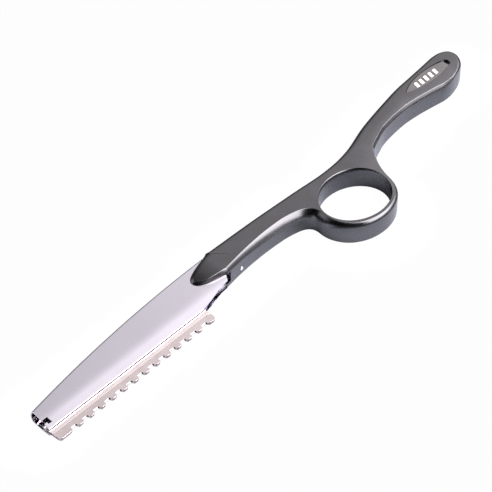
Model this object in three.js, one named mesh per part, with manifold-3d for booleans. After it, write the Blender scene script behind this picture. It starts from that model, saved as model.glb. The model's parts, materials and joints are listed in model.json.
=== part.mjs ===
// A hairdresser's guarded styling razor: a ring handle cast in one piece, a folded sheet holder pinned into
// it, and a blade under a toothed guard that slides out of the holder's open end.
// Sizes are millimetres. The razor lies on its side: X runs from the blade tip (-X) to the tail (+X),
// Y points to the spine and Z is the thickness. Zero is the middle of the finger hole until the last lines.
import * as THREE from 'three';
import { mergeVertices } from 'three/addons/utils/BufferGeometryUtils.js';
import Module from 'manifold-3d';

const wasm = await Module();
wasm.setup();

// Clearances
const socketFit = 0.3; // between the holder and the handle round it, on every side
const barFit = 0.25; // between the tang bar and each leaf of the holder
const pinFit = 0.15; // round the retaining pin and the rivets
const slideFit = 0.1; // on each face of a sheet that slides
const badgeFit = 0.15; // between the badge plate and its recess

// Handle
const handleThick = 8.2;
const edgeInset = 1.2; // how far the rounded edge runs in over the flat faces
const edgeDepth = 1.6; // how far it runs down the wall
const holeLength = 25; // the oval finger hole, along X
const holeWidth = 20.5; // and along Y
const holeEdge = 0.7; // rounding of the hole's rims
const ringWall = 2.2;
const bridge = 4.85; // material between the finger hole and the spine
const neckLength = 50.5; // from the middle of the hole to the socket mouth
const neckHeight = 10.7; // from underside to spine at the mouth
const mouthRise = 2.2; // the spine at the mouth above the spine at the hole
const neckArch = 1.3; // how far the underside arches up between mouth and ring
const tailLength = 76; // from the middle of the hole to the tail end
const prowLength = 11; // the pointed nose over each face of the holder
const prowHeight = 0.35; // how far the nose's tip stands above the holder's face

// Folded holder
const holderLength = 80; // from its open end to the socket mouth
const holderThick = 3.5;
const holderSheet = 0.4;
const spineDrop = 6.6; // how far the spine falls from the mouth to the open end
const holderHeight = 15; // from the leaves' lips to the spine, at the mouth
const creaseRise = 4.7; // each leaf bends in towards its lip this far above it
const leafSweep = 2.6; // how far the lips sweep up behind the guard
const endRake = 1.1; // the open end leans back this far from lip to spine
const tangLength = 22.5; // the part inside the handle
const tangHeight = 6.5;
const notchWidth = 1.3; // the L-shaped notch at the open end
const notchLength = 2.7;
const notchFoot = 1.4;

// Tang bar, rivets and pin
const barToe = 0.8; // how far the bar's toe reaches below the crease, to stop the blade
const rivetDiameter = 2;
const pinDiameter = 1.4;
const pinFromMouth = 6.9;
const pinDepth = 5.8;
const pinProud = 0.15; // the domed end stands out of the wall

// Blade and guard
const bladeThick = 0.25;
const bladeHeight = 8.5;
const bladeShow = 0.4; // how far the edge stands out of the guard between the teeth
const bladeBevel = 0.8; // width of the ground edge
const guardLength = 65.2;
const guardSheet = 0.25;
const guardTuck = 2.1; // how far the guard reaches up between the lips
const guardSkirt = 3.6; // how far it hangs below them between the teeth
const toothDrop = 1.1; // and how much further at the teeth
const toothPitch = 4.5;
const toothRoot = 2.4; // width of a tooth at the guard's edge
const toothTip = 1.5; // and round the blade's edge
const noseLength = 5.2; // closed front end of the guard
const heelLength = 3.6; // wide last tooth

// Badge
const badgeLength = 21.4;
const badgeHeight = 5.6;
const badgeRecess = 0.8;
const badgePlate = 0.55;
const badgeGap = 1.3; // open end of the recess, past the plate
const markCount = 5;
const markPitch = 2.3;
const markWidth = 1.3;
const markHeight = 2.3;
const markSlant = 0.6;
const markThick = 0.1;

// Worked out from the sizes above
const top = handleThick / 2;
const spineY = holeWidth / 2 + bridge;
const mouthX = -neckLength;
const mouthTop = spineY + mouthRise;
const mouthBottom = mouthTop - neckHeight;
const openEndX = mouthX - holderLength;
const holderHalf = holderThick / 2;
const holderTop = mouthTop + 0.2;
const lipY = holderTop - holderHeight;
const creaseY = lipY + creaseRise;
const tangTop = (mouthTop + mouthBottom + tangHeight) / 2;
const tangBottom = tangTop - tangHeight;
const tangEndX = mouthX + tangLength;
const barHalf = holderHalf - holderSheet - barFit;
const guardInner = bladeThick / 2 + slideFit;
const guardHalf = guardInner + guardSheet;
const lipInner = guardHalf + slideFit;
const guardRearX = openEndX + guardLength;
const guardTop = lipY + guardTuck;
const guardEdgeY = lipY - guardSkirt;
const guardBottom = guardEdgeY - toothDrop;
const bladeEdgeY = guardEdgeY - bladeShow;
const pinX = mouthX + pinFromMouth;

// ---- solids ----

// A closed body for cutting and joining. A lathe's slivers on its axis shrink to nothing and are dropped.
function solid(geometry) {
  const bare = geometry.clone();
  bare.deleteAttribute('normal');
  bare.deleteAttribute('uv');
  const merged = mergeVertices(bare, 1e-4);
  const vertProperties = new Float32Array(merged.attributes.position.array);
  const corners = merged.index.array;
  const kept = [];
  for (let i = 0; i < corners.length; i += 3) {
    const [a, b, c] = corners.slice(i, i + 3);
    if (a !== b && b !== c && c !== a) kept.push(a, b, c);
  }
  const triVerts = new Uint32Array(kept);
  return new wasm.Manifold(new wasm.Mesh({ numProp: 3, vertProperties, triVerts }));
}

function geometryOf(body) {
  const mesh = body.getMesh();
  const geometry = new THREE.BufferGeometry();
  geometry.setAttribute('position', new THREE.BufferAttribute(mesh.vertProperties, 3));
  geometry.setIndex(new THREE.BufferAttribute(mesh.triVerts, 1));
  const flat = geometry.toNonIndexed();
  flat.computeVertexNormals();
  return flat;
}

// An outline in the XY plane, given thickness from one height to another.
function slab(shape, z0, z1) {
  const options = { depth: z1 - z0, bevelEnabled: false, curveSegments: 8 };
  return solid(new THREE.ExtrudeGeometry(shape, options).translate(0, 0, z0));
}

// A section drawn with its height along Y and its width along Z, run along X.
function run(shape, x0, x1, steps = 1) {
  const options = { depth: x1 - x0, steps, bevelEnabled: false, curveSegments: 8 };
  return new THREE.ExtrudeGeometry(shape, options).rotateY(Math.PI / 2).translate(x0, 0, 0);
}

function block(x0, x1, y0, y1, z0, z1) {
  const geometry = new THREE.BoxGeometry(x1 - x0, y1 - y0, z1 - z0);
  return solid(geometry.translate((x0 + x1) / 2, (y0 + y1) / 2, (z0 + z1) / 2));
}

// A cylinder along Z through a point of the XY plane, and one along Y from one height to another.
function crossRod(diameter, x, y, length) {
  const geometry = new THREE.CylinderGeometry(diameter / 2, diameter / 2, length, 20);
  return solid(geometry.rotateX(Math.PI / 2).translate(x, y, 0));
}

function uprightRod(diameter, x, y0, y1) {
  const geometry = new THREE.CylinderGeometry(diameter / 2, diameter / 2, y1 - y0, 20);
  return solid(geometry.translate(x, (y0 + y1) / 2, 0));
}

// ---- handle ----

const tailAt = (share, rise) => new THREE.Vector2(share * tailLength, spineY + rise);
const neckAt = (share, rise) => new THREE.Vector2(-share * neckLength, spineY + rise);

// The neck's underside arches up from the mouth and down again to the ring.
function neckUnderside(x) {
  const crown = 0.65 * mouthX;
  const across = (x - crown) / (mouthX - crown);
  return mouthBottom + neckArch * (1 - across * across);
}

function handleOutline() {
  const ringX = holeLength / 2 + ringWall;
  const ringY = holeWidth / 2 + ringWall;
  const join = 0.14; // the ring runs on this far above its middle, in radians
  const joinX = ringX * Math.cos(join);
  const joinY = ringY * Math.sin(join);
  const neckEnd = -ringX - 9;
  const rise = neckUnderside(neckEnd) - joinY;
  const shape = new THREE.Shape();
  shape.moveTo(mouthX, mouthBottom);
  const stations = 8;
  for (let i = 1; i <= stations; i++) {
    const x = mouthX + (neckEnd - mouthX) * i / stations;
    shape.lineTo(x, neckUnderside(x));
  }
  shape.bezierCurveTo(-ringX - 3.3, joinY + 0.84 * rise, -ringX, joinY + 0.68 * rise, -joinX, joinY);
  shape.absellipse(0, 0, ringX, ringY, Math.PI - join, join, false, 0);
  const root = tailAt(0.28, -5.4);
  shape.bezierCurveTo(ringX + 0.7, joinY + 2.8, root.x - 4.2, root.y - 1.7, root.x, root.y);
  shape.splineThru([tailAt(0.34, -3.5), tailAt(0.42, -1.6), tailAt(0.55, -0.6), tailAt(0.66, -1.1), tailAt(0.77, -2.6)]);
  const corner = tailAt(0.82, -3.4);
  const flank = tailAt(0.89, -0.9);
  shape.quadraticCurveTo(corner.x, corner.y, flank.x, flank.y);
  const tip = tailAt(1, 5.9);
  shape.bezierCurveTo(tip.x - 3.7, flank.y + 2.4, tip.x, tip.y - 2, tip.x, tip.y);
  const shoulder = tailAt(0.84, 9.3);
  shape.bezierCurveTo(tip.x, tip.y + 2.6, tip.x - 5, shoulder.y + 0.2, shoulder.x, shoulder.y);
  const spine = [tailAt(0.6, 8), tailAt(0.37, 5.2), tailAt(0.185, 1.3), tailAt(0.03, 0), neckAt(0.24, 0.8)];
  shape.splineThru([...spine, neckAt(0.6, 1.7), neckAt(0.98, mouthRise)]);
  prowOutline(shape);
  return shape;
}

// The pointed nose: from the spine round its tip and back to the underside of the mouth.
function prowOutline(shape) {
  const tipX = mouthX - prowLength;
  const tipY = mouthBottom + 0.46 * neckHeight;
  shape.bezierCurveTo(mouthX - 3.5, mouthTop - 1, tipX, tipY + 3, tipX, tipY);
  shape.bezierCurveTo(tipX, tipY - 2.4, mouthX - 6.5, mouthBottom + 1.6, mouthX, mouthBottom);
}

// The handle seen from the side: full thickness, with the nose sloping down to the holder at its tip.
function handleProfile() {
  const tipX = mouthX - prowLength - 1;
  const tipZ = holderHalf + socketFit + prowHeight;
  const fullX = mouthX - 1;
  const shape = new THREE.Shape();
  shape.moveTo(tipX, -tipZ);
  shape.quadraticCurveTo(mouthX - 0.55 * prowLength, -top, fullX, -top);
  shape.lineTo(tailLength + 1, -top);
  shape.lineTo(tailLength + 1, top);
  shape.lineTo(fullX, top);
  shape.quadraticCurveTo(mouthX - 0.55 * prowLength, top, tipX, tipZ);
  shape.closePath();
  return shape;
}

// The finger hole: a straight oval bore that opens out at both rims.
function fingerHole() {
  const r = holeLength / 2;
  const upper = [[r, top - holeEdge], [r + holeEdge, top], [r + holeEdge, top + 0.1], [0, top + 0.1]];
  const lower = upper.map(([x, z]) => [x, -z]).reverse();
  const profile = [...lower, ...upper].map(([x, z]) => new THREE.Vector2(x, z));
  const geometry = new THREE.LatheGeometry(profile, 48).rotateX(Math.PI / 2);
  return solid(geometry.scale(1, holeWidth / holeLength, 1));
}

function badgeShape(inset, cutEnd) {
  const middle = tailAt(0.768, 3.75);
  const left = middle.x - badgeLength / 2 + 2 * inset;
  const right = middle.x + badgeLength / 2 - inset - cutEnd;
  const high = middle.y + badgeHeight / 2 - inset;
  const low = middle.y - badgeHeight / 2 + inset;
  const blunt = 0.24 * badgeHeight;
  const shape = new THREE.Shape();
  shape.moveTo(left, middle.y);
  shape.bezierCurveTo(left + 5, low, middle.x + 3, low, right, middle.y - blunt);
  shape.quadraticCurveTo(right + (cutEnd ? 0 : 1), middle.y, right, middle.y + blunt);
  shape.bezierCurveTo(middle.x + 3, high + 0.9, left + 5, high + 0.4, left, middle.y);
  return shape;
}

function handleBody() {
  const options = {
    depth: handleThick - 2 * edgeDepth,
    bevelSize: edgeInset,
    bevelOffset: -edgeInset,
    bevelThickness: edgeDepth,
    bevelSegments: 3,
    curveSegments: 8,
  };
  const blank = new THREE.ExtrudeGeometry(handleOutline(), options).translate(0, 0, edgeDepth - top);
  const profile = new THREE.ExtrudeGeometry(handleProfile(), { depth: 80, bevelEnabled: false, curveSegments: 8 });
  const face = holderHalf + socketFit;
  const mouth = block(mouthX - 2 * prowLength, mouthX, -10, 2 * mouthTop, -face, face);
  const socket = block(mouthX - 1, tangEndX + socketFit, tangBottom - socketFit, tangTop + socketFit, -face, face);
  return solid(blank)
    .intersect(solid(profile.rotateX(Math.PI / 2).translate(0, 45, 0)))
    .subtract(fingerHole())
    .subtract(mouth)
    .subtract(socket)
    .subtract(uprightRod(pinDiameter + 2 * pinFit, pinX, mouthBottom - 1, tangBottom))
    .subtract(slab(badgeShape(0, 0), top - badgeRecess, top + 1));
}

// ---- badge ----

const plateTop = top - badgeRecess + badgePlate;

function badgePlateBody() {
  return slab(badgeShape(badgeFit, badgeGap), top - badgeRecess, plateTop);
}

// Plain slanted bars, one after another along the plate.
function badgeMark(index) {
  const middle = tailAt(0.762, 3.6);
  const x = middle.x + (index - (markCount - 1) / 2) * markPitch;
  const shape = new THREE.Shape();
  shape.moveTo(x - (markWidth + markSlant) / 2, middle.y - markHeight / 2);
  shape.lineTo(x + (markWidth - markSlant) / 2, middle.y - markHeight / 2);
  shape.lineTo(x + (markWidth + markSlant) / 2, middle.y + markHeight / 2);
  shape.lineTo(x - (markWidth - markSlant) / 2, middle.y + markHeight / 2);
  shape.closePath();
  return slab(shape, plateTop, plateTop + markThick);
}

// ---- holder ----

// The spine falls away from the mouth to the open end, more and more steeply.
function holderSpine(x) {
  const away = (mouthX - x) / holderLength;
  return away > 0 ? holderTop - spineDrop * away * away : holderTop;
}

// Both leaves and the fold between them, seen along the razor.
function holderSection() {
  const inner = holderHalf - holderSheet;
  const foldY = holderTop - holderHalf;
  const shape = new THREE.Shape();
  shape.moveTo(lipInner + holderSheet, lipY);
  shape.lineTo(holderHalf, creaseY);
  shape.lineTo(holderHalf, foldY);
  shape.absarc(0, foldY, holderHalf, 0, Math.PI, false);
  shape.lineTo(-holderHalf, creaseY);
  shape.lineTo(-lipInner - holderSheet, lipY);
  shape.lineTo(-lipInner, lipY);
  shape.lineTo(-inner, creaseY);
  shape.lineTo(-inner, foldY);
  shape.absarc(0, foldY, inner, Math.PI, 0, true);
  shape.lineTo(inner, creaseY);
  shape.lineTo(lipInner, lipY);
  shape.closePath();
  return shape;
}

function holderPlan() {
  const high = holderTop + 1;
  const rearX = mouthX - socketFit;
  const shape = new THREE.Shape();
  shape.moveTo(openEndX, lipY - 1);
  shape.lineTo(guardRearX - 1.5, lipY - 1);
  shape.lineTo(guardRearX - 1.5, lipY);
  shape.bezierCurveTo(mouthX - 9.5, lipY + 0.6, mouthX - 7, lipY + leafSweep, rearX - 2, lipY + leafSweep);
  shape.lineTo(rearX - 0.7, mouthBottom + 0.2);
  shape.lineTo(rearX, tangBottom);
  shape.lineTo(tangEndX, tangBottom);
  shape.lineTo(tangEndX, tangTop);
  shape.lineTo(rearX, tangTop);
  shape.lineTo(rearX, high);
  shape.lineTo(openEndX + endRake, high);
  shape.lineTo(openEndX + endRake, holderSpine(openEndX) - 0.8);
  shape.closePath();
  return shape;
}

// The L-shaped notch in the front leaf at the open end.
function notch() {
  const middle = (lipY + creaseY) / 2;
  const end = openEndX + notchLength;
  const slot = block(openEndX - 1, end, middle - 0.3, middle - 0.3 + notchWidth, 0.1, top);
  const foot = block(end - notchFoot, end, middle - 1.1, middle, 0.1, top);
  return slot.add(foot);
}

const rivetPlaces = [mouthX + 2.6, tangEndX - 4].map((x) => new THREE.Vector2(x, (tangTop + tangBottom) / 2));

function holderBody() {
  const geometry = run(holderSection(), openEndX, tangEndX, 24);
  const place = geometry.attributes.position;
  for (let i = 0; i < place.count; i++) {
    const above = place.getY(i) - creaseY;
    const share = (holderSpine(place.getX(i)) - creaseY) / (holderTop - creaseY);
    if (above > 0) place.setY(i, creaseY + above * share);
  }
  let body = solid(geometry).intersect(slab(holderPlan(), -top, top)).subtract(notch());
  for (const at of rivetPlaces) body = body.subtract(crossRod(rivetDiameter + 2 * pinFit, at.x, at.y, handleThick));
  return body;
}

// ---- tang bar, rivets and pin ----

function tangBar() {
  const frontX = guardRearX + socketFit;
  const toeX = frontX + 4;
  const shape = new THREE.Shape();
  shape.moveTo(frontX, creaseY - barToe);
  shape.lineTo(toeX, creaseY - barToe);
  shape.lineTo(toeX + 4, tangBottom);
  shape.lineTo(tangEndX, tangBottom);
  shape.lineTo(tangEndX, tangTop);
  shape.lineTo(toeX, tangTop);
  shape.lineTo(frontX, tangTop - 3);
  shape.closePath();
  let body = slab(shape, -barHalf, barHalf);
  body = body.subtract(uprightRod(pinDiameter + 2 * pinFit, pinX, tangBottom - 1, pinTop + pinFit));
  for (const at of rivetPlaces) body = body.subtract(crossRod(rivetDiameter + 2 * pinFit, at.x, at.y, handleThick));
  return body;
}

const pinBottom = neckUnderside(pinX) - pinProud;
const pinTop = pinBottom + pinDepth;

function retainingPin() {
  return uprightRod(pinDiameter, pinX, pinBottom, pinTop);
}

// Both ends are ground flush with the leaves.
function tangRivet(index) {
  return crossRod(rivetDiameter, rivetPlaces[index].x, rivetPlaces[index].y, holderThick);
}

// ---- guard and blade ----

// One sheet folded round the blade's edge.
function guardSection() {
  const shape = new THREE.Shape();
  shape.moveTo(guardHalf, guardTop);
  shape.lineTo(guardInner, guardTop);
  shape.lineTo(guardInner, guardBottom + guardHalf);
  shape.absarc(0, guardBottom + guardHalf, guardInner, 0, Math.PI, true);
  shape.lineTo(-guardInner, guardTop);
  shape.lineTo(-guardHalf, guardTop);
  shape.lineTo(-guardHalf, guardBottom + guardHalf);
  shape.absarc(0, guardBottom + guardHalf, guardHalf, Math.PI, 0, false);
  shape.closePath();
  return shape;
}

// The guard seen from its face: a closed nose, a row of teeth and a wide heel, with the blade free between.
function guardPlan() {
  const below = guardBottom - 1;
  const lean = (toothRoot - toothTip) / 2;
  const noseX = openEndX + noseLength;
  const heelX = guardRearX - heelLength;
  const teeth = Math.floor((heelX - noseX - toothRoot) / toothPitch);
  const space = (heelX - noseX - teeth * toothRoot) / (teeth + 1);
  const shape = new THREE.Shape();
  shape.moveTo(openEndX, guardTop + 1);
  shape.lineTo(openEndX, guardBottom + 1);
  shape.lineTo(openEndX + 1, below);
  shape.lineTo(noseX - lean, below);
  shape.lineTo(noseX, guardEdgeY);
  for (let i = 0; i < teeth; i++) {
    const x = noseX + space + i * (toothRoot + space);
    shape.lineTo(x, guardEdgeY);
    shape.lineTo(x + lean, below);
    shape.lineTo(x + toothRoot - lean, below);
    shape.lineTo(x + toothRoot, guardEdgeY);
  }
  shape.lineTo(heelX, guardEdgeY);
  shape.lineTo(heelX + lean, below);
  shape.lineTo(guardRearX - lean, below);
  shape.lineTo(guardRearX, guardEdgeY);
  shape.lineTo(guardRearX, guardTop + 1);
  shape.closePath();
  return shape;
}

function guardComb() {
  return solid(run(guardSection(), openEndX, guardRearX)).intersect(slab(guardPlan(), -top, top));
}

function razorBlade() {
  const half = bladeThick / 2;
  const back = bladeEdgeY + bladeHeight;
  const shape = new THREE.Shape();
  shape.moveTo(0, bladeEdgeY);
  shape.lineTo(half, bladeEdgeY + bladeBevel);
  shape.lineTo(half, back);
  shape.lineTo(-half, back);
  shape.lineTo(-half, bladeEdgeY + bladeBevel);
  shape.closePath();
  return solid(run(shape, openEndX + 0.3, guardRearX));
}

// ---- assembly ----

const razor = new THREE.Group();

function addPiece(name, body, color, roughness, metalness) {
  const material = new THREE.MeshStandardMaterial({ color, roughness, metalness });
  const mesh = new THREE.Mesh(geometryOf(body), material);
  mesh.name = name;
  razor.add(mesh);
}

addPiece('handle_body', handleBody(), 0x66636a, 0.45, 0.9);
addPiece('badge_plate', badgePlateBody(), 0x807d80, 0.5, 0.8);
for (let i = 0; i < markCount; i++) addPiece(`badge_mark_${i + 1}`, badgeMark(i), 0xf2eae6, 0.5, 0);
addPiece('blade_holder', holderBody(), 0xd0c8d6, 0.2, 1);
addPiece('tang_bar', tangBar(), 0x9a9aa0, 0.4, 1);
for (let i = 0; i < rivetPlaces.length; i++) addPiece(`tang_rivet_${i + 1}`, tangRivet(i), 0xb8b8bc, 0.3, 1);
addPiece('retaining_pin', retainingPin(), 0xe6e6ea, 0.15, 1);
addPiece('guard_comb', guardComb(), 0xc3b2b4, 0.3, 1);
addPiece('razor_blade', razorBlade(), 0xd6d6da, 0.15, 1);

// The origin goes to the middle of the underside of the whole razor.
const extent = new THREE.Box3().setFromObject(razor);
const middle = extent.getCenter(new THREE.Vector3());
razor.position.set(-middle.x, -middle.y, -extent.min.z);

export default razor;
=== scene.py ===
import json
import math

import bpy
from mathutils import Matrix, Vector


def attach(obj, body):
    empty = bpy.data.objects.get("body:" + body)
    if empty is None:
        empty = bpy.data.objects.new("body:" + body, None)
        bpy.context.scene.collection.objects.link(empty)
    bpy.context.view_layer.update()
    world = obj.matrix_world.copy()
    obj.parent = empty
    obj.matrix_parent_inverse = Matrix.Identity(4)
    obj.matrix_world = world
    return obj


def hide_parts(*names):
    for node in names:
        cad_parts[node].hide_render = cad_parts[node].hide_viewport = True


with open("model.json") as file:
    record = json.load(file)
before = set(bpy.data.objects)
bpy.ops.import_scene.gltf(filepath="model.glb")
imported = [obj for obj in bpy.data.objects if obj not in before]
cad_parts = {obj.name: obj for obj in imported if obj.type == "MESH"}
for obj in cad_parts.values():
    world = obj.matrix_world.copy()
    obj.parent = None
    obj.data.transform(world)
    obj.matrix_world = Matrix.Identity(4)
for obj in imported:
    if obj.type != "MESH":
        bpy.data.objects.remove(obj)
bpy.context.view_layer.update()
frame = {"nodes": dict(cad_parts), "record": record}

# The razor lies on a white table under one large softbox. The softbox leans over from the front, the room
# behind the table is dim near its horizon and light above, and the camera looks down along the razor.
hole_low, hole_high = frame["record"]["physics"]["openings"][0]["box_m"]
zero = Vector(((hole_low[0] + hole_high[0]) / 2, (hole_low[1] + hole_high[1]) / 2, 0.0041))

camera_distance = 0.8
camera_rise = math.radians(44.16)
camera_heading = math.radians(41.9)
camera_roll = math.radians(0.31)
picture_wide = 36.0
focal_length = 189.37
hole_right, hole_up = 0.04185, 0.02005

away = Vector((math.cos(camera_heading), math.sin(camera_heading), 0))
level = Vector((math.sin(camera_heading), -math.cos(camera_heading), 0))
sight = away * math.cos(camera_rise) - Vector((0, 0, math.sin(camera_rise)))
upright = level.cross(sight)
right = math.cos(camera_roll) * level + math.sin(camera_roll) * upright
up = math.cos(camera_roll) * upright - math.sin(camera_roll) * level
aim = zero + Vector((0, 0, 0.0041))
turned = Matrix((right, up, -sight)).transposed().to_4x4()
turned.translation = aim - camera_distance * (sight + hole_right * right + hole_up * up)
bpy.ops.object.select_all(action='DESELECT')
bpy.ops.object.camera_add()
camera = bpy.context.object
camera.matrix_world = turned
camera.data.sensor_width = picture_wide
camera.data.lens = focal_length
bpy.context.scene.camera = camera
bpy.context.scene.view_settings.view_transform = 'Standard'

room = bpy.data.worlds.new("studio_room")
room.use_nodes = True
bpy.context.scene.world = room
nodes, links = room.node_tree.nodes, room.node_tree.links
towards = nodes.new("ShaderNodeTexCoord")
axes = nodes.new("ShaderNodeSeparateXYZ")
links.new(towards.outputs["Generated"], axes.inputs[0])


def fade(axis, start, end, low=0.0, high=1.0):
    """Goes smoothly from low to high where the direction's part along the axis goes from start to end."""
    ramp = nodes.new("ShaderNodeMapRange")
    ramp.interpolation_type = 'SMOOTHSTEP'
    for socket, value in (("From Min", start), ("From Max", end), ("To Min", low), ("To Max", high)):
        ramp.inputs[socket].default_value = value
    links.new(axes.outputs[axis], ramp.inputs["Value"])
    return ramp.outputs[0]


def joined(way, *values):
    for value in values[1:]:
        step = nodes.new("ShaderNodeMath")
        step.operation = way
        links.new(values[0], step.inputs[0])
        links.new(value, step.inputs[1])
        values = (step.outputs[0],)
    return values[0]


wall_light = joined('MULTIPLY', fade("X", 0.08, 0.6), fade("Z", 0.04, 0.35, 0.02, 0.74),
                    fade("X", 0.45, 0.75, 1, 1.6))
softbox = joined('MULTIPLY', fade("X", -0.10, 0.05), fade("X", 0.62, 0.88, 1, 0.35),
                 joined('ADD', fade("Y", -0.2, 0.15, 4.3, 0), fade("Y", -0.1, 0.42, 1.4, 0)), fade("Z", 0.0, 0.2))
fill_light = joined('MULTIPLY', fade("X", 0.1, -0.2), fade("Y", 0.35, 0.6), fade("Z", 0.0, 0.2, 0, 0.9))
links.new(joined('ADD', wall_light, softbox, fill_light), nodes["Background"].inputs["Strength"])
nodes["Background"].inputs["Color"].default_value = (1, 0.985, 1, 1)

bpy.ops.object.select_all(action='DESELECT')
bpy.ops.mesh.primitive_plane_add(size=6)
floor = bpy.context.object
floor.name = "floor"
white = bpy.data.materials.new("white_table")
white.use_nodes = True
nodes, links = white.node_tree.nodes, white.node_tree.links

# Close round the razor the table's colour is painted light, a painted pool of light that the walls pick up in
# reflections, and further off it is painted dim, a painted shade in reflections. Each painted strip runs from one
# place to another, as far out as its third number, in millimetres.
painted_light_strips = [((-130, 9), (-50, 10), 3.5), ((-50, 12), (-14, 12), 4.5), ((0, 0), (0.1, 0), 13.5),
              ((14, 12), (45, 17), 4.5), ((45, 17), (74, 17), 2.5)]
painted_pool_near, painted_pool_far = 0.004, 0.015
painted_lit_table, painted_dim_table = (0.57, 0.60, 0.67, 1), (0.05, 0.05, 0.055, 1)
table_glow, seen_white = 1.05, 0.93
place = nodes.new("ShaderNodeTexCoord")
nearest = None
for start, end, reach in painted_light_strips:
    a = Vector((zero.x + start[0] * 0.001, zero.y + start[1] * 0.001, 0))
    b = Vector((zero.x + end[0] * 0.001, zero.y + end[1] * 0.001, 0))
    steps = [nodes.new("ShaderNodeVectorMath") for _ in range(5)]
    for step, way in zip(steps, ('SUBTRACT', 'DOT_PRODUCT', 'SCALE', 'SUBTRACT', 'LENGTH')):
        step.operation = way
    links.new(place.outputs["Object"], steps[0].inputs[0])
    steps[0].inputs[1].default_value = a
    links.new(steps[0].outputs[0], steps[1].inputs[0])
    steps[1].inputs[1].default_value = (b - a) / (b - a).length_squared
    clamp = nodes.new("ShaderNodeClamp")
    links.new(steps[1].outputs["Value"], clamp.inputs[0])
    steps[2].inputs[0].default_value = b - a
    links.new(clamp.outputs[0], steps[2].inputs["Scale"])
    links.new(steps[0].outputs[0], steps[3].inputs[0])
    links.new(steps[2].outputs[0], steps[3].inputs[1])
    links.new(steps[3].outputs[0], steps[4].inputs[0])
    outside = nodes.new("ShaderNodeMath")
    outside.operation = 'SUBTRACT'
    outside.inputs[1].default_value = reach * 0.001
    links.new(steps[4].outputs["Value"], outside.inputs[0])
    if nearest is None:
        nearest = outside.outputs[0]
    else:
        least = nodes.new("ShaderNodeMath")
        least.operation = 'MINIMUM'
        links.new(nearest, least.inputs[0])
        links.new(outside.outputs[0], least.inputs[1])
        nearest = least.outputs[0]
painted_light_pool = nodes.new("ShaderNodeMapRange")
painted_light_pool.interpolation_type = 'SMOOTHSTEP'
painted_light_pool.inputs["From Min"].default_value, painted_light_pool.inputs["From Max"].default_value = painted_pool_far, painted_pool_near
links.new(nearest, painted_light_pool.inputs["Value"])
# Painted pool of light: the base colour goes from painted dim far off to painted lit near the razor.
painted_pool_mix = nodes.new("ShaderNodeMix")
painted_pool_mix.data_type = 'RGBA'
painted_pool_mix.inputs[6].default_value, painted_pool_mix.inputs[7].default_value = painted_dim_table, painted_lit_table
links.new(painted_light_pool.outputs[0], painted_pool_mix.inputs[0])
links.new(painted_pool_mix.outputs[2], nodes["Principled BSDF"].inputs["Base Color"])
nodes["Principled BSDF"].inputs["Roughness"].default_value = 0.9
glow = nodes.new("ShaderNodeEmission")
glow.inputs["Strength"].default_value = table_glow
seen = nodes.new("ShaderNodeLightPath")
most = nodes.new("ShaderNodeMath")
most.operation = 'MULTIPLY'
most.inputs[1].default_value = seen_white
blend = nodes.new("ShaderNodeMixShader")
links.new(seen.outputs["Is Camera Ray"], most.inputs[0])
links.new(most.outputs[0], blend.inputs[0])
links.new(nodes["Principled BSDF"].outputs[0], blend.inputs[1])
links.new(glow.outputs[0], blend.inputs[2])
links.new(blend.outputs[0], nodes["Material Output"].inputs["Surface"])
floor.data.materials.append(white)

# The handle is one casting of dark satin metal: neck, oval finger ring and curved tail, with a nose over each
# face of the holder. Its edges are ground to a soft chamfer below, and rounded along the spine.
mm = 0.001
thick = 8.2
hole_length, hole_width, ring_wall = 25.0, 20.5, 2.2
spine_y = 15.1
neck_length, tail_length = 50.5, 76.0
mouth_x, mouth_top, mouth_bottom = -neck_length, 17.3, 6.6
holder_half, socket_fit = 1.75, 0.3
stations = 760
face_steps, back_steps = 12, 6


def at(x, y):
    return Vector((x, y))


def bezier(*controls, steps=32):
    """Points along the curve after its first control, which is where the outline already stands."""
    degree = len(controls) - 1
    points = []
    for i in range(1, steps + 1):
        t = i / steps
        weights = [math.comb(degree, k) * t ** k * (1 - t) ** (degree - k) for k in range(degree + 1)]
        points.append(sum((w * c for w, c in zip(weights, controls)), at(0, 0)))
    return points


def through(*knots, steps=24):
    """A smooth curve through every knot."""
    ends = [knots[0], *knots, knots[-1]]
    points = []
    for a, b, c, d in zip(ends, ends[1:], ends[2:], ends[3:]):
        for i in range(1, steps + 1):
            t = i / steps
            leave, arrive = (c - a) / 2, (d - b) / 2
            points.append((2 * b - 2 * c + leave + arrive) * t ** 3
                          + (3 * c - 3 * b - 2 * leave - arrive) * t * t + leave * t + b)
    return points


def tail_at(share, rise):
    return at(share * tail_length, spine_y + rise)


def neck_at(share, rise):
    return at(-share * neck_length, spine_y + rise)


def neck_underside(x):
    crown = 0.65 * mouth_x
    return mouth_bottom + 1.3 * (1 - ((x - crown) / (mouth_x - crown)) ** 2)


# Each stretch of the outline ends at its own edge: how far it runs in over the face and down the wall, how
# steeply it starts, in degrees, and how far the far edge is rounded.
edge_line = [(at(mouth_x, mouth_bottom), 0.95, 2.2, 36.0, 1.0)]


def run_on(points, *edge):
    start = edge_line[-1][1:]
    for i, point in enumerate(points, 1):
        share = i / len(points)
        share = share * share * (3 - 2 * share)
        edge_line.append((point, *[a + (b - a) * share for a, b in zip(start, edge)]))


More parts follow.
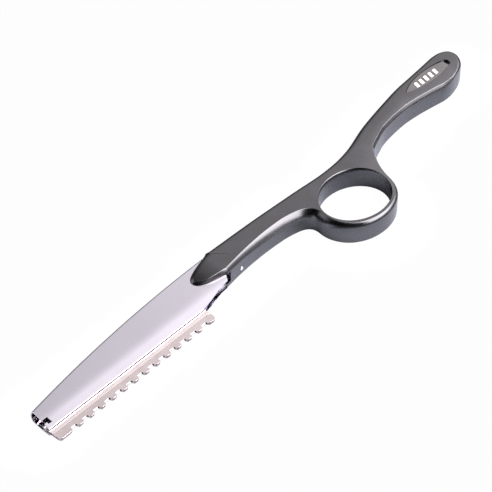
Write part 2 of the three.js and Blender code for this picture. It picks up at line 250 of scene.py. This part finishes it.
ring_x, ring_y = hole_length / 2 + ring_wall, hole_width / 2 + ring_wall
join = 0.14
join_x, join_y = ring_x * math.cos(join), ring_y * math.sin(join)
neck_end = -ring_x - 8.4
rise = neck_underside(neck_end) - join_y
run_on([at(x, neck_underside(x)) for x in [mouth_x + (neck_end - mouth_x) * i / 40 for i in range(1, 41)]],
       1.85, 3.6, 36, 1.1)
run_on(bezier(edge_line[-1][0], at(-ring_x - 1.7, join_y + 0.83 * rise), at(-ring_x + 0.8, join_y + 0.66 * rise),
              at(0.1 - join_x, join_y)), 1.6, 3.2, 30, 1.2)
ring_run = [at(0.1 + ring_x * math.cos(a), -0.15 + ring_y * math.sin(a))
            for a in [math.pi - join + (math.pi + join - 0.2) * i / 90 for i in range(1, 91)]]
run_on(ring_run[:26], 0.95, 1.6, 22, 1.1)
run_on(ring_run[26:], 0.9, 1.5, 22, 0.5)
root = tail_at(0.28, -5.4)
run_on(bezier(ring_run[-1], at(ring_x + 0.6, 1.2), at(ring_x + 2.4, 5.4), root), 0.8, 1.4, 50, 0.6)
belly = through(root, tail_at(0.34, -3.5), tail_at(0.42, -1.6), tail_at(0.55, -0.6), tail_at(0.66, -1.1),
                tail_at(0.77, -2.4))
run_on(belly, 0.7, 1.5, 57, 0.8)
flank = tail_at(0.88, -1.9)
turn = bezier(tail_at(0.77, -2.4), tail_at(0.82, -3.3), flank)
run_on(turn[:12], 0.7, 1.5, 57, 0.8)
run_on(turn[12:], 0.5, 0.9, 30, 0.5)
shoulder = tail_at(0.86, 9.7)
tail_round = through(flank, tail_at(0.916, -1.0), tail_at(0.955, 0.7), tail_at(0.983, 3.3), tail_at(0.988, 5.8),
                     tail_at(0.974, 8.1), tail_at(0.94, 9.6), tail_at(0.897, 9.95), shoulder)
run_on(tail_round[:96], 2.3, 3.0, 4, 0.8)
run_on(tail_round[96:], 2.2, 2.2, 0, 2.0)
run_on(through(shoulder, tail_at(0.73, 8.85), tail_at(0.6, 8.0), tail_at(0.37, 4.75), tail_at(0.185, 0.7),
               tail_at(0.03, -0.4), neck_at(0.24, 0.5), neck_at(0.6, 1.5), neck_at(0.98, 2.05)), 2.8, 2.8, 0, 2.6)
nose = at(mouth_x - 11, mouth_bottom + 0.46 * 10.7)
run_on(bezier(edge_line[-1][0], at(mouth_x - 3.2, mouth_top - 1.5), nose + at(0, 3), nose), 1.2, 1.6, 26, 0.9)
nose_run = bezier(nose, nose - at(0, 2.8), at(mouth_x - 6.3, mouth_bottom + 0.9), edge_line[0][0])
run_on(nose_run[:24], 0.75, 2.3, 56, 0.5)
run_on(nose_run[24:], 0.95, 2.2, 36, 1.0)
edge_line.pop()

# The stations stand closer together where the outline turns sharply.
count = len(edge_line)
lengths = [0.0]
for i in range(count):
    before, here, after = (edge_line[(i + k) % count][0] for k in (-1, 0, 1))
    step = (after - here).length
    bend = (after - here).angle(here - before, 0.0)
    lengths.append(lengths[-1] + step + 1.6 * bend)
spread = []
k = 0
for j in range(stations):
    want = lengths[-1] * j / stations
    while lengths[k + 1] < want:
        k += 1
    share = (want - lengths[k]) / (lengths[k + 1] - lengths[k])
    here, after = edge_line[k], edge_line[(k + 1) % count]
    spread.append([a + (b - a) * share for a, b in zip(here, after)])

outward, insets = [], []
for j, (point, inset, *_) in enumerate(spread):
    before, after = spread[j - 1][0], spread[(j + 1) % stations][0]
    along = (after - before).normalized()
    outward.append(at(along.y, -along.x))
    turn_left = (point - before).angle_signed(after - point, 0.0)
    radius = (after - before).length / 2 / max(-turn_left, 1e-6)
    insets.append(min(inset, 0.8 * radius))
for _ in range(6):
    insets = [(insets[j - 1] + 2 * insets[j] + insets[(j + 1) % stations]) / 4 for j in range(stations)]


def ground_edge(inset, down, ridge, steps):
    """How far in and how far down each step of an edge lies, from the face to the wall. Its first steps
    round off the ridge, then it turns in its own rhythm: slowly on the flat of the chamfer, quickly at the wall."""
    soft, steep = min(1, ridge / 20), min(1, max(0, (ridge - 32) / 12))
    late = max(58, ridge + 8)
    gentle = [(0, ridge), (0.5, 45 + 7 * soft), (0.62, 56 + 4 * soft), (0.85, 76), (1, 90)]
    sheer = [(0, ridge), (0.4, max(51, ridge)), (0.8, late), (0.9, (90 + late) / 2), (1, 90)]
    rhythm = [[p + (q - p) * steep for p, q in zip(*pair)] for pair in zip(gentle, sheer)]
    turns = [0, ridge / 4, ridge / 2, ridge * 3 / 4]
    for i in range(steps + 1):
        for (t0, turn0), (t1, turn1) in zip(rhythm, rhythm[1:]):
            if t0 <= i / steps <= t1:
                turn_here = turn0 + (turn1 - turn0) * (i / steps - t0) / (t1 - t0)
        turns.append(turn_here)
    shares = [0.01 + 0.0006 * min(ridge, 20) + 0.012 * steep] * 4 + [1 / steps] * steps
    places = [(0.0, 0.0)]
    for a, b, length in zip(turns, turns[1:], shares):
        middle = math.radians((a + b) / 2)
        places.append((places[-1][0] + length * math.cos(middle), places[-1][1] + length * math.sin(middle)))
    wide, deep = places[-1]
    return [(inset * (1 - x / wide), down * z / deep) for x, z in places]


def sheet_through(name, rows):
    """A grid pulled onto rows of points."""
    bpy.ops.object.select_all(action='DESELECT')
    bpy.ops.mesh.primitive_grid_add(x_subdivisions=len(rows[0]) - 1, y_subdivisions=len(rows) - 1, size=1)
    piece = bpy.context.object
    piece.name = piece.data.name = name
    for vertex, point in zip(piece.data.vertices, [point for row in rows for point in row]):
        vertex.co = point
    return piece


def in_frame(x, y, z):
    return zero + Vector((x, y, z)) * mm


face_rows = [[] for _ in range(face_steps + 5)]
back_rows = [[] for _ in range(back_steps + 5)]
for (point, full_inset, down, ridge, back), inset, out in zip(spread, insets, outward):
    for row, (run_in, fall) in zip(face_rows, ground_edge(inset, down * inset / full_inset, ridge, face_steps)):
        row.append(in_frame(*(point - out * run_in), thick / 2 - fall))
    back = min(back, inset)
    for row, (run_in, lift) in zip(back_rows, ground_edge(back, back, 0, back_steps)):
        row.append(in_frame(*(point - out * run_in), lift - thick / 2))
rows = face_rows + back_rows[::-1]
handle = sheet_through("handle_casting", [row + row[:1] for row in rows])
bpy.ops.object.mode_set(mode='EDIT')
bpy.ops.mesh.select_all(action='SELECT')
bpy.ops.mesh.remove_doubles(threshold=1e-7)
bpy.ops.mesh.fill_holes(sides=0)
nose_start, nose_end, nose_low = mouth_x - 1, mouth_x - 12, 2.4
for i in range(24):
    bpy.ops.mesh.select_all(action='SELECT')
    bpy.ops.mesh.bisect(plane_co=in_frame(nose_start - 0.45 * i, 0, 0), plane_no=(1, 0, 0))
bpy.ops.mesh.select_all(action='SELECT')
bpy.ops.mesh.normals_make_consistent(inside=False)
bpy.ops.object.mode_set(mode='OBJECT')

# Towards its tip the nose slopes down to the holder.
slope = [(nose_start, thick / 2), *bezier(at(nose_start, thick / 2), at(mouth_x - 6.05, thick / 2),
                                          at(nose_end, nose_low), steps=40)]
for vertex in handle.data.vertices:
    x = (vertex.co.x - zero.x) / mm
    if x < nose_start:
        for (x0, z0), (x1, z1) in zip(slope, slope[1:]):
            if x1 <= x <= x0:
                reach = z0 + (z1 - z0) * (x - x0) / (x1 - x0)
                vertex.co.z = zero.z + (vertex.co.z - zero.z) * reach / (thick / 2)
                break

# The tail's face is crowned: it falls away from a crest to the ridge and to the spine, more in the tail's middle
# than at its end. It is cut across and along first, so that it can bend.
crown_start, crown_full, crown_curve, crown_most = 6, 30, 0.03, 0.9
flatter_from, flatter_at, flatter_by = 40, 54, 0.6
crest = through(tail_at(0.02, -3), tail_at(0.2, -2), tail_at(0.4, 1.2), tail_at(0.6, 3.4), tail_at(0.8, 3.7),
                tail_at(1.05, 5.5))
bpy.ops.object.mode_set(mode='EDIT')
for i in range(34):
    bpy.ops.mesh.select_all(action='SELECT')
    bpy.ops.mesh.bisect(plane_co=in_frame(crown_start + 2.1 * i, 0, 0), plane_no=(1, 0, 0))
for i in range(17):
    bpy.ops.mesh.select_all(action='SELECT')
    bpy.ops.mesh.bisect(plane_co=in_frame(30, 4 + i, 0), plane_no=(-0.35, 1, 0))
bpy.ops.object.mode_set(mode='OBJECT')
for vertex in handle.data.vertices:
    x, y, z = (vertex.co - zero) / mm
    if x > 4 and z > 0:
        near = min(crest, key=lambda point: abs(point.x - x))
        rounded = min(1, max(0, (x - crown_start) / (crown_full - crown_start))) ** 2
        flatter = 1 - flatter_by * min(1, max(0, (x - flatter_from) / (flatter_at - flatter_from)))
        fall = crown_curve * (y - near.y) ** 2 * rounded * flatter
        vertex.co.z -= min(fall, crown_most) * mm * z / (thick / 2)


def block(name, x0, x1, y0, y1, z0, z1):
    bpy.ops.object.select_all(action='DESELECT')
    middle = in_frame((x0 + x1) / 2, (y0 + y1) / 2, (z0 + z1) / 2)
    bpy.ops.mesh.primitive_cube_add(size=mm, location=middle, scale=(x1 - x0, y1 - y0, z1 - z0))
    bpy.context.object.name = name
    settle(bpy.context.object)
    return bpy.context.object


def settle(piece):
    """Puts the piece's place and turn into its mesh."""
    bpy.ops.object.select_all(action='DESELECT')
    piece.select_set(True)
    bpy.context.view_layer.objects.active = piece
    bpy.ops.object.transform_apply(location=True, rotation=True, scale=True)


def plate(name, outline, z0, z1):
    """An outline filled with a face and raised to a plate."""
    bpy.ops.object.select_all(action='DESELECT')
    bpy.ops.mesh.primitive_circle_add(vertices=len(outline), fill_type='NGON')
    piece = bpy.context.object
    piece.name = piece.data.name = name
    for vertex, (x, y) in zip(piece.data.vertices, outline):
        vertex.co = in_frame(x, y, z0)
    bpy.ops.object.mode_set(mode='EDIT')
    bpy.ops.mesh.select_all(action='SELECT')
    bpy.ops.mesh.extrude_region_move(TRANSFORM_OT_translate={"value": (0, 0, (z1 - z0) * mm)})
    bpy.ops.mesh.select_all(action='SELECT')
    bpy.ops.mesh.normals_make_consistent(inside=False)
    bpy.ops.object.mode_set(mode='OBJECT')
    return piece


def cut(piece, tool, way='DIFFERENCE'):
    """Cuts the piece with the tool, and the tool is gone."""
    bpy.ops.object.select_all(action='DESELECT')
    piece.select_set(True)
    bpy.context.view_layer.objects.active = piece
    step = piece.modifiers.new("cut", 'BOOLEAN')
    step.operation, step.solver, step.object = way, 'EXACT', tool
    bpy.ops.object.modifier_apply(modifier=step.name)
    bpy.data.objects.remove(tool)


# The finger hole is cut with a waisted plug, which rounds both its rims. The hole stands a little off the middle
# of the ring.
hole_rows = []
rim_face, rim_face_deep, rim_slope, rim_back = 0.45, 1.5, 22, 1.2
hole_off_x, hole_off_y = 0.4, -0.12
face_rim = ground_edge(rim_face, rim_face_deep, rim_slope, 8)
back_rim = ground_edge(rim_back, rim_back, 0, 8)
plug_past = 0.5
for lift, flare in ([(-thick / 2 - plug_past, rim_back)]
                    + [(-thick / 2 + fall, run_in) for run_in, fall in back_rim]
                    + [(thick / 2 - fall, run_in) for run_in, fall in face_rim[::-1]]
                    + [(thick / 2 + plug_past, rim_face)]):
    row = []
    for i in range(161):
        a = 2 * math.pi * i / 160
        normal = at(hole_width * math.cos(a), hole_length * math.sin(a)).normalized()
        point = at(hole_length / 2 * math.cos(a) + hole_off_x, hole_width / 2 * math.sin(a) + hole_off_y)
        point += normal * flare
        row.append(in_frame(*point, lift))
    hole_rows.append(row)
hole = sheet_through("finger_hole", hole_rows)
bpy.ops.object.mode_set(mode='EDIT')
bpy.ops.mesh.select_all(action='SELECT')
bpy.ops.mesh.remove_doubles(threshold=1e-7)
bpy.ops.mesh.fill_holes(sides=0)
bpy.ops.mesh.select_all(action='SELECT')
bpy.ops.mesh.normals_make_consistent(inside=False)
bpy.ops.object.mode_set(mode='OBJECT')
cut(handle, hole)

# The holder's mouth and the socket for its tang are milled out, then the badge's recess and the pin's bore.
socket_face = holder_half + socket_fit
nose_gap = holder_half + 0.1
cut(handle, block("mouth", mouth_x - 22, mouth_x, -10, 30, -nose_gap, nose_gap))
cut(handle, block("mouth_gap", mouth_x - 1, mouth_x + 1.3, 0, 16, -socket_face, socket_face))
cut(handle, block("socket", mouth_x - 1, mouth_x + 22.8, 8.4, 15.5, -socket_face, socket_face))


def badge_outline(inset, cut_end, steps=28):
    """The lens of the badge, pointed towards the ring and blunt towards the tail."""
    middle = tail_at(0.768, 3.75)
    left, right_end = middle.x - 10.7 + 2 * inset, middle.x + 10.7 - inset - cut_end
    high, low, blunt = middle.y + 2.8 - inset, middle.y - 2.8 + inset, 1.344
    start, lower, upper = at(left, middle.y), at(right_end, middle.y - blunt), at(right_end, middle.y + blunt)
    bulge = at(right_end + (0 if cut_end else 1), middle.y)
    return (bezier(start, at(left + 5, low), at(middle.x + 3, low), lower, steps=steps)
            + bezier(lower, bulge, upper, steps=8)
            + bezier(upper, at(middle.x + 3, high + 0.9), at(left + 5, high + 0.4), start, steps=steps))


badge_floor = thick / 2 - 0.8
cut(handle, plate("badge_recess", badge_outline(0, 0), badge_floor, thick / 2 + 1))

pin_x, pin_z, pin_diameter, pin_fit = mouth_x + 6.9, -1.4, 1.4, 0.15
bpy.ops.object.select_all(action='DESELECT')
bpy.ops.mesh.primitive_cylinder_add(vertices=32, radius=(pin_diameter / 2 + pin_fit) * mm, depth=4 * mm,
                                    location=in_frame(pin_x, mouth_bottom, pin_z), rotation=(math.pi / 2, 0, 0))
pin_bore = bpy.context.object
settle(pin_bore)
cut(handle, pin_bore)


def finish_surface(piece, degrees=14.5):
    """Smooth wherever the surface turns gently, crisp at its ridges, with flat faces kept flat."""
    bpy.ops.object.select_all(action='DESELECT')
    piece.select_set(True)
    bpy.context.view_layer.objects.active = piece
    bpy.ops.object.shade_smooth_by_angle(angle=math.radians(degrees))
    step = piece.modifiers.new("flat faces", 'WEIGHTED_NORMAL')
    step.keep_sharp = True
    step.weight = 90
    bpy.ops.object.modifier_apply(modifier=step.name)


finish_surface(handle)

grain = bpy.data.node_groups.new("satin_grain", 'ShaderNodeTree')
for name, default in (("Size", 0.3), ("Stretch", 1.0), ("Blotch Size", 6.0), ("Rough Low", 0.25), ("Rough High", 0.3)):
    socket = grain.interface.new_socket(name, in_out='INPUT', socket_type='NodeSocketFloat')
    socket.default_value = default
for name in ("Light Color", "Dark Color"):
    grain.interface.new_socket(name, in_out='INPUT', socket_type='NodeSocketColor')
grain.interface.new_socket("Color", in_out='OUTPUT', socket_type='NodeSocketColor')
grain.interface.new_socket("Roughness", in_out='OUTPUT', socket_type='NodeSocketFloat')
grain.interface.new_socket("Height", in_out='OUTPUT', socket_type='NodeSocketFloat')
nodes, links = grain.nodes, grain.links
given, taken = nodes.new("NodeGroupInput"), nodes.new("NodeGroupOutput")
where = nodes.new("ShaderNodeTexCoord")
per_metre = nodes.new("ShaderNodeMath")
per_metre.operation = 'DIVIDE'
per_metre.inputs[0].default_value = 1000
links.new(given.outputs["Size"], per_metre.inputs[1])
squeeze = nodes.new("ShaderNodeCombineXYZ")
squeeze.inputs["Y"].default_value = squeeze.inputs["Z"].default_value = 1.0
flatten = nodes.new("ShaderNodeMath")
flatten.operation = 'DIVIDE'
flatten.inputs[0].default_value = 1.0
links.new(given.outputs["Stretch"], flatten.inputs[1])
links.new(flatten.outputs[0], squeeze.inputs["X"])
drawn = nodes.new("ShaderNodeVectorMath")
drawn.operation = 'MULTIPLY'
links.new(where.outputs["Object"], drawn.inputs[0])
links.new(squeeze.outputs[0], drawn.inputs[1])
fine = nodes.new("ShaderNodeTexNoise")
fine.inputs["Detail"].default_value = 3
fine.inputs["Roughness"].default_value = 0.65
links.new(drawn.outputs[0], fine.inputs["Vector"])
links.new(per_metre.outputs[0], fine.inputs["Scale"])
blotch_rate = nodes.new("ShaderNodeMath")
blotch_rate.operation = 'DIVIDE'
blotch_rate.inputs[0].default_value = 1000
links.new(given.outputs["Blotch Size"], blotch_rate.inputs[1])
blotch = nodes.new("ShaderNodeTexNoise")
blotch.inputs["Detail"].default_value = 4
links.new(where.outputs["Object"], blotch.inputs["Vector"])
links.new(blotch_rate.outputs[0], blotch.inputs["Scale"])
both = nodes.new("ShaderNodeMix")
both.data_type = 'FLOAT'
both.inputs[0].default_value = 0.4
links.new(fine.outputs["Fac"], both.inputs[2])
links.new(blotch.outputs["Fac"], both.inputs[3])
patch = nodes.new("ShaderNodeMapRange")
patch.inputs["From Min"].default_value, patch.inputs["From Max"].default_value = 0.3, 0.7
links.new(both.outputs[0], patch.inputs["Value"])
tint = nodes.new("ShaderNodeMix")
tint.data_type = 'RGBA'
links.new(patch.outputs[0], tint.inputs[0])
links.new(given.outputs["Dark Color"], tint.inputs[6])
links.new(given.outputs["Light Color"], tint.inputs[7])
links.new(tint.outputs[2], taken.inputs["Color"])
polish = nodes.new("ShaderNodeMapRange")
polish.inputs["From Min"].default_value, polish.inputs["From Max"].default_value = 0.3, 0.7
links.new(blotch.outputs["Fac"], polish.inputs["Value"])
links.new(given.outputs["Rough Low"], polish.inputs["To Min"])
links.new(given.outputs["Rough High"], polish.inputs["To Max"])
links.new(polish.outputs[0], taken.inputs["Roughness"])
links.new(fine.outputs["Fac"], taken.inputs["Height"])


def satin(name, light, dark, rough=(0.25, 0.3), size=0.3, stretch=1.0, blotches=6.0, bump=0.004, metallic=1.0):
    """A material of the satin grain, with the grain's depth in millimetres."""
    made = bpy.data.materials.new(name)
    made.use_nodes = True
    nodes, links = made.node_tree.nodes, made.node_tree.links
    body = nodes["Principled BSDF"]
    body.inputs["Metallic"].default_value = metallic
    pattern = nodes.new("ShaderNodeGroup")
    pattern.node_tree = grain
    for socket, value in (("Size", size), ("Stretch", stretch), ("Blotch Size", blotches), ("Rough Low", rough[0]),
                          ("Rough High", rough[1]), ("Light Color", (*light, 1)), ("Dark Color", (*dark, 1))):
        pattern.inputs[socket].default_value = value
    raised = nodes.new("ShaderNodeBump")
    raised.inputs["Distance"].default_value = bump * mm
    links.new(pattern.outputs["Height"], raised.inputs["Height"])
    links.new(pattern.outputs["Color"], body.inputs["Base Color"])
    links.new(pattern.outputs["Roughness"], body.inputs["Roughness"])
    links.new(raised.outputs[0], body.inputs["Normal"])
    return made


handle.data.materials.append(satin("handle_satin", (0.176, 0.171, 0.180), (0.142, 0.138, 0.146), rough=(0.24, 0.3)))
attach(handle, "handle")
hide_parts("handle_body")

# The badge is a thin plate of lighter satin metal, glued into the lens-shaped recess in the tail. It stops
# short of the recess's blunt end.
plate_top = badge_floor + 0.55
badge = plate("badge_plate_fine", badge_outline(0.15, 0.8), badge_floor, plate_top)


def soften(piece, width, segments=2, degrees=30):
    """Rounds every sharp edge of the piece."""
    bpy.ops.object.select_all(action='DESELECT')
    piece.select_set(True)
    bpy.context.view_layer.objects.active = piece
    step = piece.modifiers.new("soft edges", 'BEVEL')
    step.width, step.segments, step.limit_method = width * mm, segments, 'ANGLE'
    step.angle_limit = math.radians(degrees)
    bpy.ops.object.modifier_apply(modifier=step.name)


soften(badge, 0.08)
finish_surface(badge, 30)
badge.data.materials.append(satin("badge_satin", (0.30, 0.285, 0.285), (0.23, 0.22, 0.222), rough=(0.3, 0.38),
                                  size=0.25, stretch=3, blotches=4))
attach(badge, "handle")
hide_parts("badge_plate")

# Five plain slanted bars are printed on the badge in warm white enamel, thick enough to stand just proud of
# the plate. They are alike and evenly spaced.
mark_pitch, mark_wide, mark_high, mark_slant, mark_thick = 2.3, 1.3, 2.3, 0.6, 0.1
enamel = satin("badge_print", (0.93, 0.87, 0.85), (0.80, 0.74, 0.72), rough=(0.45, 0.6), size=0.35, blotches=1.5,
               bump=0.01, metallic=0.0)
for i in range(5):
    middle = tail_at(0.762, 3.6) + at((i - 2) * mark_pitch, 0)
    half, lean, high = mark_wide / 2, mark_slant / 2, mark_high / 2
    corners = [middle + at(-half - lean, -high), middle + at(half - lean, -high), middle + at(half + lean, high),
               middle + at(lean - half, high)]
    mark = plate(f"badge_bar_{i + 1}", corners, plate_top, plate_top + mark_thick)
    soften(mark, 0.04)
    finish_surface(mark, 30)
    mark.data.materials.append(enamel)
    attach(mark, "handle")
    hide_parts(f"badge_mark_{i + 1}")

# The holder is one sheet of bright plated steel, folded lengthwise over a round spine. Its two leaves bend in
# towards their lips, which pinch the guard, and its tang goes into the handle's socket. The sheet's thickness
# stands outside the faces drawn here, so this holder is thicker than its frame node by two sheets, and it cuts
# into the walls of its mouth and socket.
holder_sheet = 0.4
open_end = mouth_x - 80
holder_top, lip_y, crease_y = mouth_top - 0.2, 2.5, 7.2
fold_high = 1.0
lip_half = 1.05
tang_end, tang_low, tang_high = mouth_x + 22.5, 8.7, 15.2
mouth_gap = 0.4


def holder_spine(x):
    return holder_top - 6.6 * max(0, (mouth_x - x) / 80) ** 2


def thicken(piece, thickness):
    """Gives a sheet its thickness, outwards from the faces that it was drawn on."""
    bpy.ops.object.select_all(action='DESELECT')
    piece.select_set(True)
    bpy.context.view_layer.objects.active = piece
    bpy.ops.object.mode_set(mode='EDIT')
    bpy.ops.mesh.select_all(action='SELECT')
    bpy.ops.mesh.remove_doubles(threshold=1e-7)
    bpy.ops.object.mode_set(mode='OBJECT')
    step = piece.modifiers.new("sheet", 'SOLIDIFY')
    step.thickness, step.offset, step.use_even_offset = thickness * mm, -1, True
    step.material_offset = 1
    bpy.ops.object.modifier_apply(modifier=step.name)
    bpy.ops.object.mode_set(mode='EDIT')
    bpy.ops.mesh.select_all(action='SELECT')
    bpy.ops.mesh.normals_make_consistent(inside=False)
    bpy.ops.object.mode_set(mode='OBJECT')


def folded_half(y):
    """Half the gap between the two leaves at a height: how far their inner faces stand from the middle."""
    bend = 2.3
    slope = (holder_half - lip_half) / (crease_y - lip_y)
    past = crease_y - y
    if past <= -bend:
        return holder_half
    if past < bend:
        return holder_half - slope * (past + bend) ** 2 / (4 * bend)
    return holder_half - slope * past


rows = []
for i in range(65):
    x = open_end + (tang_end - open_end) * i / 64
    spine = holder_spine(x)
    fold = spine - fold_high
    heights = [lip_y + (fold - lip_y) * k / 34 for k in range(35)]
    near = [(y, folded_half(y)) for y in heights]
    arc = [(fold + fold_high * math.sin(a), holder_half * math.cos(a))
           for a in [math.pi * k / 20 for k in range(1, 20)]]
    section = near + arc + [(y, -half) for y, half in near[::-1]]
    rows.append([in_frame(x, y, z) for y, z in section])
holder = sheet_through("folded_holder", rows)
thicken(holder, holder_sheet)

# Seen flat, each leaf ends in a hollow curve behind the guard and in the tang. The near leaf has a small L-shaped
# notch at the open end.
rear_x = mouth_x - mouth_gap
guard_rear = open_end + 65.2
cut_back = 1.1
leaf_outline = [at(open_end - 0.01, lip_y - 1), at(guard_rear - 1.5, lip_y - 1), at(guard_rear - 1.5, lip_y)]
leaf_outline += bezier(leaf_outline[-1], at(mouth_x - 9.5, lip_y + 0.6), at(mouth_x - 7, lip_y + 2.6),
                       at(rear_x - 1.6, lip_y + 2.6), steps=24)
leaf_outline += [at(rear_x - 0.5, mouth_bottom + 0.1), at(rear_x, tang_low), at(tang_end, tang_low),
                 at(tang_end, tang_high), at(rear_x, tang_high), at(rear_x, holder_top + 1),
                 at(open_end + cut_back, holder_top + 1), at(open_end + cut_back, holder_spine(open_end) - 0.8)]
cut(holder, plate("leaf_plan", leaf_outline, -4, 4), 'INTERSECT')
slot_y, slot_x = 4.55, open_end + 2.7
notch = [at(open_end - 1, slot_y), at(slot_x - 1.4, slot_y), at(slot_x - 1.4, 3.75), at(slot_x, 3.75),
         at(slot_x, slot_y + 1.3), at(open_end - 1, slot_y + 1.3)]
cut(holder, plate("notch", notch, 0.1, 4))
finish_surface(holder, 25)
holder.data.materials.append(satin("holder_chrome", (0.91, 0.86, 0.95), (0.87, 0.82, 0.905), rough=(0.10, 0.15),
                                   size=0.2, stretch=30, blotches=9, bump=0.0003))
# The sheet's added face is painted near black: painted shade inside the fold between the leaves.
holder.data.materials.append(satin("holder_inside_painted_shade", (0.07, 0.07, 0.07), (0.03, 0.03, 0.03), rough=(0.5, 0.65),
                                   size=0.3, stretch=8, blotches=4, bump=0.002))
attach(holder, "handle")
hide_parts("blade_holder")

# Inside the handle a plain steel bar between the holder's leaves stiffens the tang and stops the blade. Two steel
# rivets, ground flush, hold them together.
hidden_steel = satin("inner_steel", (0.55, 0.55, 0.57), (0.42, 0.42, 0.44), rough=(0.35, 0.45), stretch=8, blotches=5)
for name in ("tang_bar", "tang_rivet_1", "tang_rivet_2"):
    frame["nodes"][name].data.materials.clear()
    frame["nodes"][name].data.materials.append(hidden_steel)

# The retaining pin is a polished steel pin with a domed end. It is pressed into the underside of the neck, and
# its end stands just proud.
pin_long, pin_dome = 1.8, 0.3
pin_face = neck_underside(pin_x) - 0.15
bpy.ops.object.select_all(action='DESELECT')
bpy.ops.mesh.primitive_cylinder_add(vertices=32, radius=pin_diameter / 2 * mm, depth=pin_long * mm,
                                    location=in_frame(pin_x, pin_face + pin_long / 2, pin_z),
                                    rotation=(math.pi / 2, 0, 0))
pin = bpy.context.object
pin.name = pin.data.name = "domed_pin"
settle(pin)
soften(pin, pin_dome, segments=5, degrees=50)
finish_surface(pin, 35)
pin.data.materials.append(satin("pin_steel", (0.95, 0.93, 0.92), (0.88, 0.86, 0.85), rough=(0.12, 0.2), bump=0.003))
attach(pin, "handle")
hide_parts("retaining_pin")

# The guard is one thin sheet of plated steel folded round the blade's edge. It leans in from the lips, stands
# straight below a fine bead, and is cut into a row of round teeth with a closed nose and a wide heel.
guard_sheet = 0.2
guard_top, bead_y, guard_edge, guard_bottom = 4.6, 0.6, -1.1, -2.2
tooth_pitch, tooth_wide, nose_long, heel_long = 4.5, 2.5, 5.2, 3.6
guard_half, corner, cavity_half, cavity_floor = 0.475, 0.07, 0.17, -1.65
outer = [(guard_top, 0.46), (3.6, 0.50), (2.9, 0.57), (2.55, 0.62), (2.2, 0.61), (bead_y + 0.5, 0.51),
         (bead_y + 0.22, 0.46), (bead_y + 0.1, 0.46), (bead_y - 0.02, guard_half), (bead_y - 0.25, guard_half),
         (guard_edge, guard_half), (guard_bottom + corner, guard_half)]
inner = [(y, max(half - guard_sheet, cavity_half)) for y, half in outer[:-1]] + [(cavity_floor, cavity_half)]
outer += [(guard_bottom + corner * (1 - math.sin(a)), guard_half - corner * (1 - math.cos(a)))
          for a in [math.pi * k / 12 for k in range(1, 7)]]
section = outer + [(y, -half) for y, half in outer[::-1]] + [(y, -half) for y, half in inner] + inner[::-1]
rows = [[in_frame(open_end + (guard_rear - open_end) * i / 40, y, z) for y, z in section + section[:1]]
        for i in range(41)]
guard = sheet_through("folded_guard", rows)
bpy.ops.object.mode_set(mode='EDIT')
bpy.ops.mesh.select_all(action='SELECT')
bpy.ops.mesh.remove_doubles(threshold=1e-7)
bpy.ops.mesh.fill_holes(sides=0)
bpy.ops.mesh.select_all(action='SELECT')
bpy.ops.mesh.normals_make_consistent(inside=False)
bpy.ops.object.mode_set(mode='OBJECT')
nose_x, heel_x = open_end + nose_long, guard_rear - heel_long
teeth = round((heel_x - nose_x - tooth_wide) / tooth_pitch)
gap = (heel_x - nose_x - teeth * tooth_wide) / (teeth + 1)


def tooth(x0, x1, round_off=1.2):
    """A tooth with a round end, from one x to another."""
    left = [at(x0, guard_edge), at(x0, guard_bottom + round_off * 0.8)]
    left += bezier(left[-1], at(x0 + 0.05, guard_bottom + 0.1), at(x0 + round_off * 0.6, guard_bottom - 0.03),
                   at(x0 + round_off, guard_bottom - 0.03), steps=8)
    return left + [at(x0 + x1 - point.x, point.y) for point in left[::-1]]


comb_outline = [at(open_end - 0.01, guard_top + 1)] + tooth(open_end - 0.01, nose_x)
for i in range(teeth):
    start = nose_x + gap + i * (tooth_wide + gap)
    comb_outline += tooth(start, start + tooth_wide)
comb_outline += tooth(heel_x, guard_rear, round_off=1.7) + [at(guard_rear + 0.01, guard_top + 1)]
cut(guard, plate("comb_plan", comb_outline, -2, 2), 'INTERSECT')
cut(guard, block("heel_slit", guard_rear - 2.4, guard_rear + 1, bead_y - 0.25, bead_y + 0.1, 0.1, 2))
soften(guard, 0.04, segments=1)
finish_surface(guard, 25)
guard.data.materials.append(satin("guard_steel", (0.95, 0.83, 0.83), (0.89, 0.775, 0.775), rough=(0.22, 0.3), size=0.2,
                                  stretch=20, blotches=5, bump=0.0004))
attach(guard, "guard")
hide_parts("guard_comb")

# The blade is a long strip of hardened steel, finely ground across its width. It lies inside the guard and slides
# out of the holder's open end with it.
blade = frame["nodes"]["razor_blade"]
blade.data.materials.clear()
blade.data.materials.append(satin("blade_steel", (0.72, 0.72, 0.74), (0.6, 0.6, 0.62), rough=(0.15, 0.22), size=0.1,
                                  stretch=0.05, blotches=6, bump=0.002))
